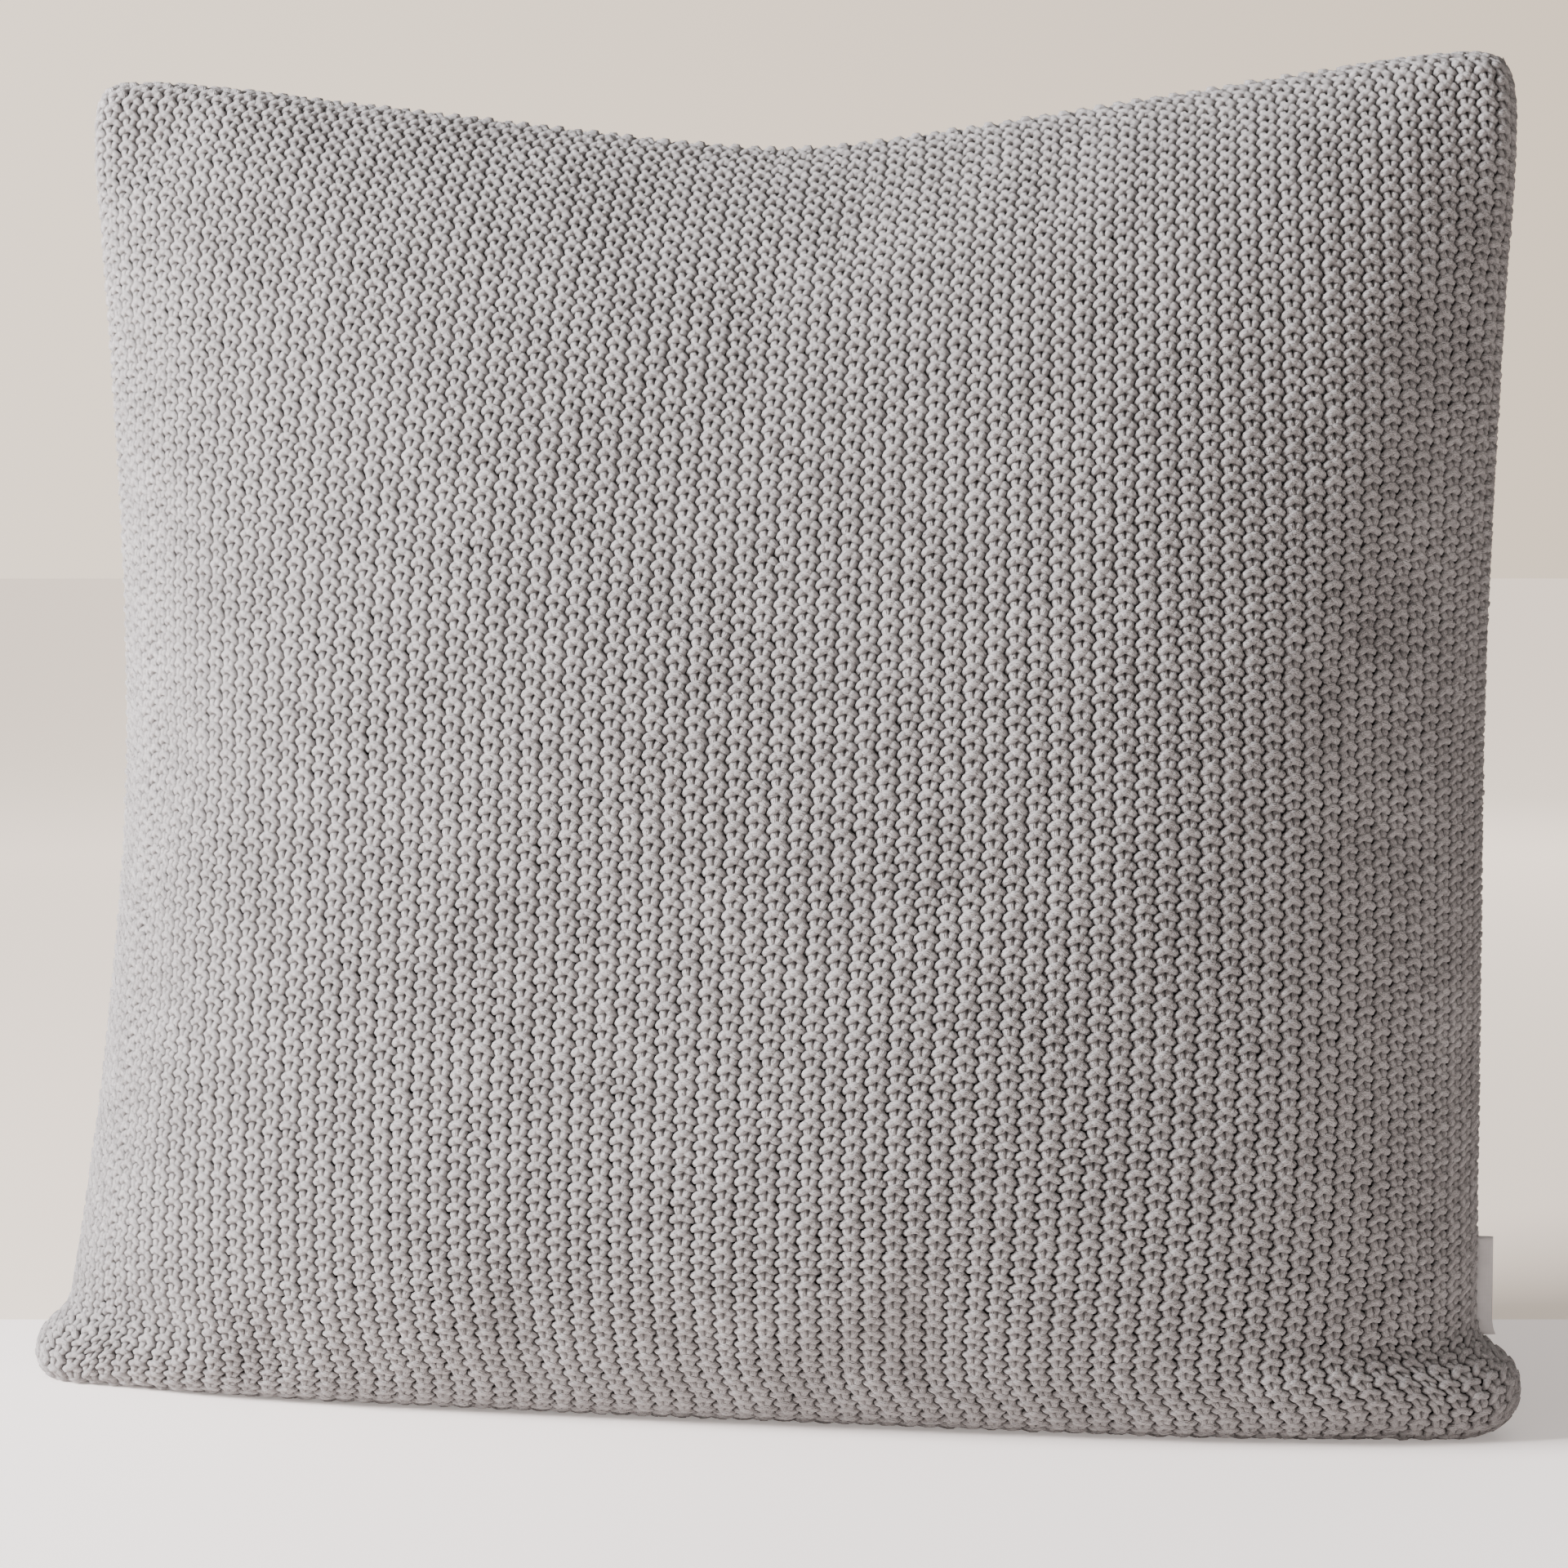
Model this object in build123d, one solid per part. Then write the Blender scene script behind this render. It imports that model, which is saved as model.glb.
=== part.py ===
"""Knitted throw pillow: a zipped cover of two seed-stitch panels round a fibre-filled insert.

It stands on its bottom edge and leans back a little. +Z is up, the front faces -Y, and the
origin is under the middle of the pillow, on the surface that it stands on. Millimetres.

Every soft layer is cut from the same pillow form, set in by the layer's depth below the
outside of the knit, so the layers nest without touching.
"""

from build123d import *
import os
from math import atan, degrees

# --- the filled pillow -------------------------------------------------------------------
HALF_WIDTH_MID = 201.0      # half the width at the waist, where the sides pull in
HALF_WIDTH_BOTTOM = 220.0   # half the width at the bottom corners
HALF_WIDTH_TOP = 212.0      # half the width at the top corners
WAIST_HEIGHT = 200.0
TOP_CORNER_HEIGHT = 390.0
TOP_MIDDLE_HEIGHT = 371.0   # the top edge dips between its corners
HALF_DEPTH = 78.0           # half the thickness at the crown
EDGE_HALF_DEPTH = 7.0       # half the thickness of the rounded edge at the seams
FOOT_SHARE = 0.46           # thickness where the pillow stands, as a share of the crown's
CROWN_SHARE = 0.42          # height of the crown, as a share of the local height
LEAN = 0.10                 # how far back the middle plane goes per unit of height

# --- layers ------------------------------------------------------------------------------
KNIT_THICKNESS = 3.0
SEAM_WIDTH = 2.0            # linking chain between the two knit panels
INSERT_INSET = 3.6          # outside of the insert, below the outside of the knit
INSERT_CLOTH = 0.6
INSERT_SEAM_WIDTH = 0.8
INSERT_FLOOR = 7.2          # the insert's underside, clear of the zipper
FILL_INSET = INSERT_INSET + INSERT_CLOTH + 0.2
CARE_LABEL_INSETS = (3.1, 3.5)

# --- zipper in the bottom seam -----------------------------------------------------------
SLOT_HALF_LENGTH = 190.0
SLOT_HALF_WIDTH = 4.0
CHAIN_HALF_LENGTH = 172.0
TAPE_HALF_LENGTH = 182.0
TAPE_EDGE = 1.2             # from the middle to the tape's inner edge
TAPE_WIDTH = 13.0
TAPE_THICKNESS = 0.5
TAPE_FLOOR = 3.3
COIL_HEIGHT = 1.4
TOOTH_PITCH = 2.0
TOOTH_WIDTH = 0.8
TOOTH_TIP = 0.5             # how far a tooth reaches past the middle
COIL_SPINE = 0.7
STOP_LENGTH = 2.5
THREAD_RADIUS = 0.25
THREAD_OFFSET = 10.0
SLIDER_LENGTH = 9.0
SLIDER_HALF_WIDTH = 3.2
SLIDER_PLATE = 0.8
PLATE_CORNER = 1.2
SLIDER_REST_X = 168.0       # closed end of the zipper
SLIDER_GAP = 0.2            # running clearance over tape and coil
POST_HALF_WIDTH = 0.9
FLANGE = 0.7
PIN_HEIGHT = 1.35
PIN_RADIUS = 0.45
EYE_RADIUS = 0.85
PIN_CLEARANCE = 0.06
CHEEK_INSIDE = 1.6
CHEEK_OUTSIDE = 2.2
PULL_LENGTH = 16.0
PULL_HALF_WIDTH = 2.4
PULL_THICKNESS = 1.0

# --- label in the right side seam --------------------------------------------------------
LABEL_BOTTOM = 28.0
LABEL_HEIGHT = 26.0
LABEL_REACH = 8.0           # past the outside of the knit
LABEL_ROOT = 1.8            # caught in the seam
LABEL_CLOTH = 0.45
LABEL_LOOP = 1.7            # thickness of the folded loop

BIG = 700.0
SECTION_HEIGHTS = [0, 2, 6, 14, 28, 55, 100, 150, 200, 250, 295, 330, 355, 372, 384, 394]
SECTION_SHARES = [0, 0.16, 0.34, 0.52, 0.68, 0.81, 0.91, 0.97, 1]


def half_width(z):
    """Half the pillow's width at height z: wide at the corners, narrow at the waist."""
    if z < WAIST_HEIGHT:
        return HALF_WIDTH_MID + (HALF_WIDTH_BOTTOM - HALF_WIDTH_MID) * (1 - z / WAIST_HEIGHT) ** 4
    share = min(1, (z - WAIST_HEIGHT) / (TOP_CORNER_HEIGHT - WAIST_HEIGHT))
    return HALF_WIDTH_MID + (HALF_WIDTH_TOP - HALF_WIDTH_MID) * share ** 2


def top_radius():
    """Radius of the arc that the top edge dips along."""
    dip = TOP_CORNER_HEIGHT - TOP_MIDDLE_HEIGHT
    return (HALF_WIDTH_TOP ** 2 + dip ** 2) / (2 * dip)


def crown(across, height):
    """Thickness as a share of the crown's, at a share across and a share of the local height."""
    level = min(1, max(0, height))
    side = (1 - min(1, across) ** 2.6) ** (1 / 1.9)
    if level < CROWN_SHARE:
        rise = (1 - (1 - level / CROWN_SHARE) ** 2.4) ** (1 / 1.8)
        return side * (FOOT_SHARE + (1 - FOOT_SHARE) * rise)
    return side * (1 - ((level - CROWN_SHARE) / (1 - CROWN_SHARE)) ** 2.4) ** (1 / 1.7)


def half_depth(share, z, inset):
    """Half the thickness at a share of the half width and a height."""
    x = share * half_width(z)
    local_top = TOP_CORNER_HEIGHT - (top_radius() ** 2 - x ** 2) ** 0.5
    local_top += (top_radius() ** 2 - HALF_WIDTH_TOP ** 2) ** 0.5
    return EDGE_HALF_DEPTH + (HALF_DEPTH - EDGE_HALF_DEPTH) * crown(share, z / local_top) - inset


def section(z, inset):
    """Closed outline of the pillow at height z, set in by inset."""
    width = half_width(z) - inset
    shares = [-s for s in reversed(SECTION_SHARES[1:])] + SECTION_SHARES
    depths = [half_depth(abs(s), z, inset) for s in shares]
    front = [Vector(s * width, LEAN * z - d, z) for s, d in zip(shares, depths)]
    back = [Vector(s * width, LEAN * z + d, z) for s, d in zip(shares, depths)]
    edges = [
        Edge.make_spline(front),
        Edge.make_line(front[-1], back[-1]),
        Edge.make_spline(list(reversed(back))),
        Edge.make_line(back[0], front[0]),
    ]
    return Wire(edges)


def pillow(inset, floor=None):
    """The pillow's form set in by inset, with a flat underside and the dipped top edge."""
    floor = inset if floor is None else floor
    body = Solid.make_loft([section(z, inset) for z in SECTION_HEIGHTS])
    hollow = Cylinder(top_radius() + inset, BIG, rotation=(90, 0, 0))
    hollow = Pos(0, 0, TOP_MIDDLE_HEIGHT + top_radius()) * hollow
    return body - hollow - Pos(0, 0, floor - BIG / 2) * Box(BIG, BIG, BIG)


def seam_plane(offset):
    """The leaning middle plane, moved back by offset. Its positive side is the back."""
    return Plane(origin=(0, offset, 0), x_dir=(1, 0, 0), z_dir=(0, 1, -LEAN))


def halves(shell, gap):
    """The shell in front of the seam gap and the shell behind it."""
    front = split(shell, bisect_by=seam_plane(-gap / 2), keep=Keep.BOTTOM)
    back = split(shell, bisect_by=seam_plane(gap / 2), keep=Keep.TOP)
    return front, back


def ring(shell, gap):
    """The part of the shell inside the seam gap."""
    behind = split(shell, bisect_by=seam_plane(-gap / 2), keep=Keep.TOP)
    return split(behind, bisect_by=seam_plane(gap / 2), keep=Keep.BOTTOM)


def block(x, y, z):
    """A box from three (low, high) pairs."""
    size = [high - low for low, high in (x, y, z)]
    middle = [(low + high) / 2 for low, high in (x, y, z)]
    return Pos(*middle) * Box(*size)


def mirrored(shape):
    """The same shape on the other side of the zipper's middle."""
    return mirror(shape, about=Plane.XZ)


def cover():
    """The two knit panels and the linking chains that join them."""
    outside = pillow(0)
    shell = outside - pillow(KNIT_THICKNESS)
    slot = block(
        (-SLOT_HALF_LENGTH, SLOT_HALF_LENGTH),
        (-SLOT_HALF_WIDTH, SLOT_HALF_WIDTH),
        (-1, 2 * KNIT_THICKNESS),
    )
    front, back = halves(shell, SEAM_WIDTH)
    chain = ring(shell, SEAM_WIDTH) - slot
    above = block((-BIG, BIG), (-BIG, BIG), (TOP_MIDDLE_HEIGHT - 8, BIG))
    level = block((-BIG, BIG), (-BIG, BIG), (KNIT_THICKNESS, TOP_MIDDLE_HEIGHT - 8))
    under = block((-BIG, BIG), (-BIG, BIG), (-1, KNIT_THICKNESS))
    left = block((-BIG, 0), (-BIG, BIG), (-1, BIG))
    right = block((0, BIG), (-BIG, BIG), (-1, BIG))
    notch = label_space()
    return {
        "front_panel": front - slot,
        "back_panel": back - slot,
        "top_seam": chain & above,
        "left_seam": chain & level & left,
        "right_seam": (chain & level & right) - notch,
        "bottom_seam_left": chain & under & left,
        "bottom_seam_right": chain & under & right,
    }


def insert():
    """The inner cushion: two cloth panels, their seams, and the fibre that fills them."""
    inside = pillow(INSERT_INSET + INSERT_CLOTH, INSERT_FLOOR + INSERT_CLOTH)
    shell = pillow(INSERT_INSET, INSERT_FLOOR) - inside
    front, back = halves(shell, INSERT_SEAM_WIDTH)
    seam = ring(shell, INSERT_SEAM_WIDTH)
    under = block((-BIG, BIG), (-BIG, BIG), (0, INSERT_FLOOR + INSERT_CLOTH))
    return {
        "insert_front_panel": front,
        "insert_back_panel": back,
        "insert_side_seam": seam - under,
        "insert_closing_seam": seam & under,
        "insert_fill": pillow(FILL_INSET, INSERT_FLOOR + INSERT_CLOTH + 0.2),
    }


def comb(phase):
    """One row of zipper teeth on its spine, in front of the middle. phase shifts the teeth."""
    spine_back = -TAPE_EDGE - COIL_SPINE
    root = -TAPE_EDGE
    points = [(-CHAIN_HALF_LENGTH, spine_back), (-CHAIN_HALF_LENGTH, root)]
    count = int(2 * CHAIN_HALF_LENGTH / TOOTH_PITCH) - 1
    for i in range(count):
        start = -CHAIN_HALF_LENGTH + phase + i * TOOTH_PITCH
        end = start + TOOTH_WIDTH
        points += [(start, root), (start, TOOTH_TIP), (end, TOOTH_TIP), (end, root)]
    points += [(CHAIN_HALF_LENGTH, root), (CHAIN_HALF_LENGTH, spine_back)]
    outline = Wire.make_polygon([Vector(x, y, TAPE_FLOOR + TAPE_THICKNESS) for x, y in points])
    return Solid.extrude(Face(outline), Vector(0, 0, COIL_HEIGHT))


def zipper_fixed():
    """Tapes, teeth, stops and the threads that hold the tapes to the knit."""
    tape_top = TAPE_FLOOR + TAPE_THICKNESS
    tape = block(
        (-TAPE_HALF_LENGTH, TAPE_HALF_LENGTH),
        (-TAPE_EDGE - TAPE_WIDTH, -TAPE_EDGE),
        (TAPE_FLOOR, tape_top),
    )
    half_pitch = TOOTH_PITCH / 2
    stop_start = SLIDER_REST_X + SLIDER_LENGTH / 2 + 1
    top_stop = block(
        (stop_start, stop_start + STOP_LENGTH),
        (-TAPE_EDGE - 1.4, -TAPE_EDGE),
        (tape_top, tape_top + COIL_HEIGHT),
    )
    bottom_stop = block(
        (-stop_start - STOP_LENGTH, -stop_start),
        (-TAPE_EDGE - 1.4, TAPE_EDGE + 1.4),
        (tape_top, tape_top + COIL_HEIGHT),
    )
    thread = Pos(0, -THREAD_OFFSET, tape_top + THREAD_RADIUS) * Cylinder(
        THREAD_RADIUS, 2 * TAPE_HALF_LENGTH - 4, rotation=(0, 90, 0)
    )
    return {
        "zipper_tape_front": tape,
        "zipper_tape_back": mirrored(tape),
        "zipper_teeth_front": comb(TOOTH_PITCH / 4),
        "zipper_teeth_back": mirrored(comb(TOOTH_PITCH / 4 + half_pitch)),
        "zipper_top_stops": Compound([top_stop, mirrored(top_stop)]),
        "zipper_bottom_stop": bottom_stop,
        "zipper_thread_front": thread,
        "zipper_thread_back": mirrored(thread),
    }


def slider():
    """Two plates round the tape and teeth, the post that joins them, and the pull's pin."""
    length = SLIDER_LENGTH / 2
    low_top = TAPE_FLOOR - SLIDER_GAP
    high_floor = TAPE_FLOOR + TAPE_THICKNESS + COIL_HEIGHT + SLIDER_GAP
    width = (-SLIDER_HALF_WIDTH, SLIDER_HALF_WIDTH)
    low_plate = block((-length, length), width, (low_top - SLIDER_PLATE, low_top))
    low_plate = fillet(low_plate.edges().filter_by(Axis.Z), PLATE_CORNER)
    high_plate = Pos(0, 0, high_floor + SLIDER_PLATE - low_top) * low_plate
    post = block((length - 1.6, length - 0.2), (-POST_HALF_WIDTH, POST_HALF_WIDTH), (low_top, high_floor))
    flange = block(
        (PLATE_CORNER - length, length - PLATE_CORNER),
        (SLIDER_HALF_WIDTH - FLANGE, SLIDER_HALF_WIDTH),
        (TAPE_FLOOR + TAPE_THICKNESS + SLIDER_GAP, high_floor),
    )
    body = low_plate + high_plate + post + flange + mirrored(flange)
    cheek = block((-0.8, 0.8), (CHEEK_INSIDE, CHEEK_OUTSIDE), (PIN_HEIGHT - 0.8, low_top - SLIDER_PLATE))
    pin = Pos(0, 0, PIN_HEIGHT) * Cylinder(PIN_RADIUS, 2 * CHEEK_OUTSIDE, rotation=(90, 0, 0))
    body = body + cheek + mirrored(cheek) + pin
    return Pos(SLIDER_REST_X, 0, 0) * body


def pull():
    """The tab on the slider's pin, lying flat in the slot and pointing along the closed teeth."""
    eye_half = CHEEK_INSIDE - 0.1
    tab = block(
        (-PULL_LENGTH, -1.2),
        (-PULL_HALF_WIDTH, PULL_HALF_WIDTH),
        (PIN_HEIGHT - PULL_THICKNESS / 2, PIN_HEIGHT + PULL_THICKNESS / 2),
    )
    tab = fillet(tab.edges().filter_by(Axis.Z), 1.0)
    neck = block(
        (-1.6, 0),
        (-eye_half, eye_half),
        (PIN_HEIGHT - PULL_THICKNESS / 2, PIN_HEIGHT + PULL_THICKNESS / 2),
    )
    eye = Pos(0, 0, PIN_HEIGHT) * Cylinder(EYE_RADIUS, 2 * eye_half, rotation=(90, 0, 0))
    bore = Pos(0, 0, PIN_HEIGHT) * Cylinder(PIN_RADIUS + PIN_CLEARANCE, 4 * eye_half, rotation=(90, 0, 0))
    window = block((-PULL_LENGTH + 2, -PULL_LENGTH + 6), (-0.9, 0.9), (0, 3))
    return Pos(SLIDER_REST_X, 0, 0) * (tab + neck + eye - bore - window)


def on_right_side(shape):
    """Moves a label shape from the origin onto the right edge, along the edge's slope."""
    low, high = half_width(LABEL_BOTTOM), half_width(LABEL_BOTTOM + LABEL_HEIGHT)
    middle = LABEL_BOTTOM + LABEL_HEIGHT / 2
    slope = degrees(atan((high - low) / LABEL_HEIGHT))
    turned = Rot(-degrees(atan(LEAN)), 0, 0) * Rot(0, slope, 0) * shape
    return Pos(half_width(middle), LEAN * middle, middle) * turned


def label_space():
    """Room for the label's root in the right seam."""
    half = LABEL_HEIGHT / 2 + 0.2
    return on_right_side(block((-LABEL_ROOT - 0.2, BIG), (-BIG, BIG), (-half, half)))


def side_label():
    """A woven label folded into a flat loop, its two ends caught in the right seam."""
    outer = LABEL_LOOP / 2
    inner = outer - LABEL_CLOTH
    bend = LABEL_REACH - outer
    half = LABEL_HEIGHT / 2
    loop = block((-LABEL_ROOT, bend), (-outer, outer), (-half, half))
    loop += Pos(bend, 0, 0) * Cylinder(outer, LABEL_HEIGHT)
    loop -= block((-LABEL_ROOT - 1, bend), (-inner, inner), (-half - 1, half + 1))
    loop -= Pos(bend, 0, 0) * Cylinder(inner, LABEL_HEIGHT + 2)
    return on_right_side(loop)


def care_label():
    """A folded care label caught in the left seam, lying between the insert and the back panel."""
    outside, inside = (pillow(depth) for depth in CARE_LABEL_INSETS)
    window = block((-half_width(0), -half_width(0) + 52), (LEAN * 60 + 2, BIG), (90, 120))
    return (outside - inside) & window


def main():
    parts = {
        **cover(),
        **insert(),
        **zipper_fixed(),
        "zipper_slider": slider(),
        "zipper_pull": pull(),
        "side_label": side_label(),
        "care_label": care_label(),
    }
    box = Compound([parts["front_panel"], parts["back_panel"]]).bounding_box()
    print("the row's origin is at", box.center().X, box.center().Y, "in this source's frame")
    centred = Pos(-box.center().X, -box.center().Y, 0)
    os.makedirs("parts", exist_ok=True)
    for name, shape in parts.items():
        export_step(centred * shape, f"parts/{name}.step")


main()
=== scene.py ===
"""Looks of the knitted throw pillow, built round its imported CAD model. Metres.

The cover's filled shape is set by its outline and fullness, and a short cloth simulation then
lets its panels swell and ease under the pressure of the filling. Its knit is real geometry: each
stitch is a length of yarn laid on that surface.
"""

import math

import bpy
import numpy as np
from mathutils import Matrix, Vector


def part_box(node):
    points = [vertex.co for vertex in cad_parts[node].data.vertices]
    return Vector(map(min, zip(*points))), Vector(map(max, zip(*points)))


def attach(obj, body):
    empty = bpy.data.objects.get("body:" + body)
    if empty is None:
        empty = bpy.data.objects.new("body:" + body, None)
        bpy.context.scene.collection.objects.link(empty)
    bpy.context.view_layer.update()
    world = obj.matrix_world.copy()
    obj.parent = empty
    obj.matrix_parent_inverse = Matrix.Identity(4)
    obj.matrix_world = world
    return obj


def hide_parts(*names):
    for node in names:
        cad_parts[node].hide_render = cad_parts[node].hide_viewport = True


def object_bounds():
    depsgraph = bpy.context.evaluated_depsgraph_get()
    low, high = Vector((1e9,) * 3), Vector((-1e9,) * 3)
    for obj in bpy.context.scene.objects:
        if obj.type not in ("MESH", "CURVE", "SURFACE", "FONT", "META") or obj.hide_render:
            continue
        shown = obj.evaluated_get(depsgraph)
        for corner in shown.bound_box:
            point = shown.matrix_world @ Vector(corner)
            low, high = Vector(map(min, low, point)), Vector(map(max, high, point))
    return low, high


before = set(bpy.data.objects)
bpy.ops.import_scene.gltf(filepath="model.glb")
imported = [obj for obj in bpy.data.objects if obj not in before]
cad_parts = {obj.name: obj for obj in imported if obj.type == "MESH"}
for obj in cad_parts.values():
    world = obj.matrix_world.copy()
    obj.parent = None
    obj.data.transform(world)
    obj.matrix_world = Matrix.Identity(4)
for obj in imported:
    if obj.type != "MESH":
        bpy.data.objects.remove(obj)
CAD_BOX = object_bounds()

MM = 0.001

# --- cover, flat ---------------------------------------------------------------------------
FLAT_SIDE = 457 * MM        # an 18 in square
WALES = 78                  # columns of stitches across a panel
ROWS = 90                   # front loops up one column
YARN_RADIUS = 1.19 * MM
YARN_FLATNESS = 0.86        # its thickness as a share of its width
HIDDEN_HEIGHT = -0.3 * MM   # yarn below this is out of sight
LOOP_START = 0.15           # rows from the bottom seam to the first loops
CLEARANCE = 0.15 * MM       # between the lowest yarn and the floor
# How much one loop differs from the next, as standard deviations.
SIZE_SPREAD = 0.03
TILT_SPREAD = 0.028
LIFT_SPREAD = 0.08 * MM
SHIFT_SPREAD = 0.075 * MM

# --- filled shape --------------------------------------------------------------------------
FINE = 96                   # cells along each side of a panel
WAIST_HALF = 200 * MM
WAIST_HEIGHT = 185 * MM
# On the left (-1) and right (1):
LOW_FLARE = {-1: 17 * MM, 1: -0.5 * MM}     # how much wider each side is near the floor
HIGH_FLARE = {-1: 17 * MM, 1: 8.7 * MM}     # and near the top corners
EAR = {-1: 8.5 * MM, 1: 12.5 * MM}          # how far the bottom corners stand out
EAR_HEIGHT = {-1: 8 * MM, 1: 11.5 * MM}
EAR_SPREAD = {-1: 9 * MM, 1: 11 * MM}
EAR_ROUND = 4 * MM          # how much thicker the edge is there
TOP_CORNER = 390.3 * MM
TOP_DIP = 26.6 * MM
DIP_POWER = 0.92
DIP_ROUND = 0.14            # share of the half width over which the dip's middle is rounded
CORNER_CUT = 0.023          # how far the top corners are rounded off
HALF_DEPTH = 75 * MM
EDGE_ROUND = 8 * MM         # radius of the rounded edge along the seams
CROWN_LEVEL = 0.42          # height of the fullest part
FOOT_HALF = 19 * MM         # half the depth that rests on the floor
LEAN = 0.085
REST_HEIGHT = 1.8 * MM      # middle of the knit above the floor
SLOT_HALF = 5.0 * MM        # half the gap that the zipper shows in
SLOT_END = 0.89             # where it closes, as a share of the half width
SLOT_TAPER = 0.06           # the share over which it closes
UNDER = 0.05                # share of a column, from the bottom seam, that lies on the floor
LOW_POWER = 1.7             # how quickly the flare near the floor dies away upwards
HIGH_POWER = 1.5            # and the one near the top, downwards
EAR_POWER = 4               # how square the bottom corners' outline is
EAR_FADE = 1.6              # the ears' extra thickness reaches this many EAR_SPREADs up
EAR_START = 0.80            # share of the half width where that thickness starts
EAR_RAMP = 0.15             # and how much further out it is complete
ACROSS_POWERS = (2.6, 0.62) # fullness across: flat in the middle, round at the sides
FOOT_POWER = 6              # how far towards the sides the foot keeps its depth
RISE_POWER = 2.4            # how soon the cover swells out above the floor
FALL_POWERS = (2.2, 0.66)   # fullness from the crown up to the top edge
EDGE_BLEND = 3              # how softly the rounded edge joins the fullness
CUT_POWER = 14              # how near the top corners the cut keeps
WAVE_CALM = 0.7             # how soon the unevenness grows, above and below
WAVE_HEIGHT = 1.3           # mm
# Soft unevenness of the filling: waves across, waves up, phase, and share of that height.
WAVES = [
    (2.1, 1.3, 0.4, 1.1),
    (1.2, 2.6, 2.0, 0.9),
    (3.4, 2.2, 4.1, 0.6),
    (4.8, 3.7, 1.3, 0.35),
]

# --- settling as cloth -----------------------------------------------------------------------
SETTLE_FRAMES = 14          # steps of the simulation
SETTLE_CAP = 3.2 * MM       # no point moves further than this
SETTLE_HELD = 4             # rows of cells at the foot that stay where they rest
SETTLE_SLACK = 0.012        # how much longer the knit may grow than the shape it starts from
SETTLE_PRESSURE = 4.0       # of the filling, outwards

# --- layers below the middle of the knit ---------------------------------------------------
# The sheet under the knit stands for its back loops; its dark colour is painted shade for the gaps.
SHADE_BACKING_DEPTH = 0.7 * MM
INSERT_DEPTH = 4.2 * MM
FILL_DEPTH = 5.4 * MM
INSERT_FLOOR = 7.4 * MM     # clear of the zipper

# --- seams and labels ------------------------------------------------------------------------
SEAM_STEP = 0.8 * MM
SEAM_TWIST = 5.0 * MM       # length of one turn of the seam's two plies
SEAM_RADIUS = 0.62 * MM     # of one ply
PLY_SPACING = 0.9           # each ply's middle from the cord's, in radii
THREAD_RADIUS = 0.2 * MM
LABEL_ROOT = 2.5 * MM       # held in the seam
LABEL_REACH = 5.6 * MM      # shows outside it
LABEL_LOOP = 0.45 * MM
LABEL_THICKNESS = 0.2 * MM
LABEL_CURL = 0.9 * MM       # how far its fold waves from front to back
LABEL_LEAN = 0.7 * MM       # forwards
LABEL_DROOP = 0.25 * MM
CARE_LENGTH = 55 * MM
CARE_DEPTH = 3.1 * MM
CARE_SEAM = 0.004           # how far in from the seam it starts, as a share of the panel

# --- studio ----------------------------------------------------------------------------------
EYE_AZIMUTH = 11.4          # degrees to the right of straight on
EYE_DOWN = 3.3              # degrees
EYE_DISTANCE = 1.204
EYE_HEIGHT = 0.249
SENSOR = 36                 # mm
LENS = 95                   # mm
# Name, place, size, power and tint.
LIGHTS = [
    ("window", (-1.72, -0.88, 1.0), (0.7, 0.8), 185, (0.98, 0.98, 1.0)),
    ("fill", (0.7, -2.2, 0.9), (1.6, 1.2), 5, (1.0, 0.96, 0.92)),
    ("behind", (0.5, 2.3, 1.3), (1.8, 1.4), 16, (1.0, 0.99, 0.98)),
    ("overhead", (-0.1, -0.5, 2.3), (2.4, 1.8), 14, (1.0, 0.98, 0.96)),
]
FLOOR_EDGE = 0.117          # how far behind the pillow's middle the pale floor ends
WORLD_LIGHT = 0.18          # how strongly the surroundings light the pillow
WORLD_SEEN = 2.5            # and how bright they look
FLOOR_GLOW = 0.36           # how much brighter the floor looks, near the pillow
FAR_GLOW = {"floor": 1.2, "ground_beyond": 1.7}     # and far from it
GLOW_RANGE = (0.4, 2.2)     # distances between which the glow grows
GLOW_GIVEN = 0.3            # share of the glow that lights the pillow
FLOOR_REACH = 4.0           # towards the camera
GROUND_REACH = 30.0         # away from it

random = np.random.default_rng(7)


# ------------------------------------------------------------------------------- the shape
def smooth_step(x):
    x = np.clip(x, 0, 1)
    return x * x * (3 - 2 * x)


def on_side(values, side):
    """The left or the right value, for each side of an array of -1 and 1."""
    return np.where(side < 0, values[-1], values[1])


def side_at(z, side):
    """Half the width of the cover at height z, on the left (-1) or right (1)."""
    low = np.clip(1 - z / WAIST_HEIGHT, 0, 1) ** LOW_POWER
    high = np.clip((z - WAIST_HEIGHT) / (TOP_CORNER - WAIST_HEIGHT), 0, 1) ** HIGH_POWER
    ear = np.exp(-np.abs((z - on_side(EAR_HEIGHT, side)) / on_side(EAR_SPREAD, side)) ** EAR_POWER)
    flares = on_side(LOW_FLARE, side) * low + on_side(HIGH_FLARE, side) * high
    return WAIST_HALF + flares + on_side(EAR, side) * ear


def top_at(share):
    """Height of the top edge at a share of the half width."""
    def rounded(x):
        return np.hypot(x, DIP_ROUND) - DIP_ROUND
    return TOP_CORNER - TOP_DIP * (1 - (rounded(share) / rounded(1)) ** DIP_POWER)


def edge_depth(distance, radius):
    """Depth of a rounded edge at a distance in from the seam."""
    return radius * np.sqrt(1 - (1 - np.clip(distance / radius, 0, 1)) ** 2)


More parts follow.
